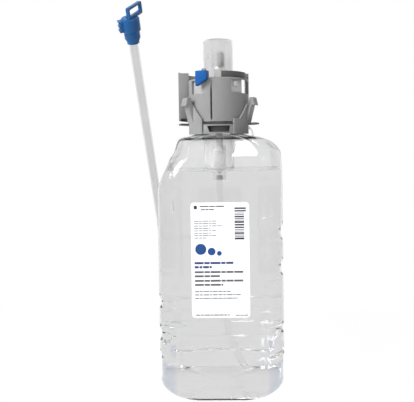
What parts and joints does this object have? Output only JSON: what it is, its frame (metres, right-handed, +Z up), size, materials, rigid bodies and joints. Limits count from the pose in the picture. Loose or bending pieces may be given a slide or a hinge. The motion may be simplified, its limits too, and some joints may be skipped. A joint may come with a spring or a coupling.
{
  "type": "hand soap refill pack",
  "caption": "Clear rectangular soap bottle with a press-dome foam pump, grey locking collar, blue key, front label and long delivery tube ending in a blue nozzle with a pull loop.",
  "frame": {"origin": "centre of the bottle's base, on the surface it stands on and on the pump's axis", "axes": "+Z up along the pump's axis, -Y towards the labelled front, -X towards the delivery tube's flank"},
  "size_m": [0.1224, 0.1638, 0.3044],
  "materials": {
    "clear_pet": "clear blow-moulded PET",
    "soap": "clear liquid",
    "label": "semi-gloss white film with plain printed bars",
    "natural": "translucent natural polyethylene",
    "white": "white polypropylene",
    "grey": "satin grey polypropylene",
    "light_grey": "satin light grey polypropylene",
    "dark_grey": "satin dark grey polypropylene",
    "blue": "glossy blue polypropylene",
    "steel": "stainless steel",
    "rubber": "off-white foamed gasket"
  },
  "bodies": {
    "pack": {"bottle": "clear_pet", "soap_fill": "soap", "front_label": "label", "neck_gasket": "rubber", "pump_housing": "natural", "dip_tube": "natural", "return_spring": "steel", "latch_ring": "grey", "flange_plate": "dark_grey", "collar": "grey", "pump_chassis": "light_grey", "collar_shroud": "grey", "lock_key": "blue", "delivery_tube": "natural", "nozzle": "blue"},
    "plunger": {"pump_dome": "natural", "piston_stem": "white", "liquid_piston": "white", "air_piston": "white", "foam_cartridge": "light_grey", "lower_mesh": "light_grey", "upper_mesh": "light_grey"},
    "inlet_valve": {"inlet_ball": "steel"},
    "outlet_valve": {"outlet_ball": "light_grey"}
  },
  "joints": [
    {"name": "plunger_slide", "type": "slide", "parent": "pack", "child": "plunger", "axis": [0, 0, -1], "range_m": [0, 0.008], "stiffness_N_per_m": 200, "springref_m": -0.01, "deforming": ["return_spring"]},
    {"name": "inlet_ball_lift", "type": "slide", "parent": "pack", "child": "inlet_valve", "axis": [0, 0, 1], "range_m": [0, 0.001]},
    {"name": "outlet_ball_lift", "type": "slide", "parent": "plunger", "child": "outlet_valve", "axis": [0, 0, 1], "range_m": [0, 0.0008]}
  ]
}
